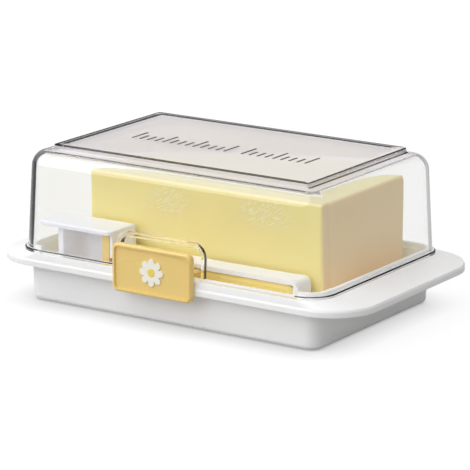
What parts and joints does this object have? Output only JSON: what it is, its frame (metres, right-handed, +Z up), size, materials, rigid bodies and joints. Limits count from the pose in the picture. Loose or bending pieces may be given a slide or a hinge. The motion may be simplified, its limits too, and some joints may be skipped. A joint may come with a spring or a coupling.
{
  "type": "butter dish with cutter",
  "caption": "Butter dish with a sunk tray, a clear lift-off lid notched at the front, and a cutter that slides in a holder beside the butter.",
  "frame": {"origin": "on the surface that the dish stands on, under the middle of the whole object", "axes": "+X along the long front edge towards the blade's tip, -Y out of the front where the grip's plate hangs, +Z up"},
  "size_m": [0.186, 0.1146, 0.0692],
  "materials": {
    "white_plastic": "smooth moulded",
    "clear_plastic": "clear polished acrylic",
    "amber_plastic": "satin moulded, slightly translucent",
    "blade_plastic": "smooth moulded, slightly translucent",
    "butter": "waxy",
    "flower_white": "printed",
    "flower_yellow": "printed"
  },
  "bodies": {
    "tray": {"tray": "white_plastic", "cutter_holder": "white_plastic", "butter_block": "butter"},
    "lid": {"lid": "clear_plastic"},
    "cutter": {"cutter_grip": "amber_plastic", "grip_plate": "amber_plastic", "cutter_blade": "blade_plastic", "flower_petals": "flower_white", "flower_center": "flower_yellow"}
  },
  "joints": [
    {"name": "lid_lift", "type": "slide", "parent": "tray", "child": "lid", "axis": [0, 0, 1], "range_m": [0, 0.08]},
    {"name": "cutter_slide", "type": "slide", "parent": "tray", "child": "cutter", "axis": [-1, 0, 0], "range_m": [0, 0.012]}
  ]
}
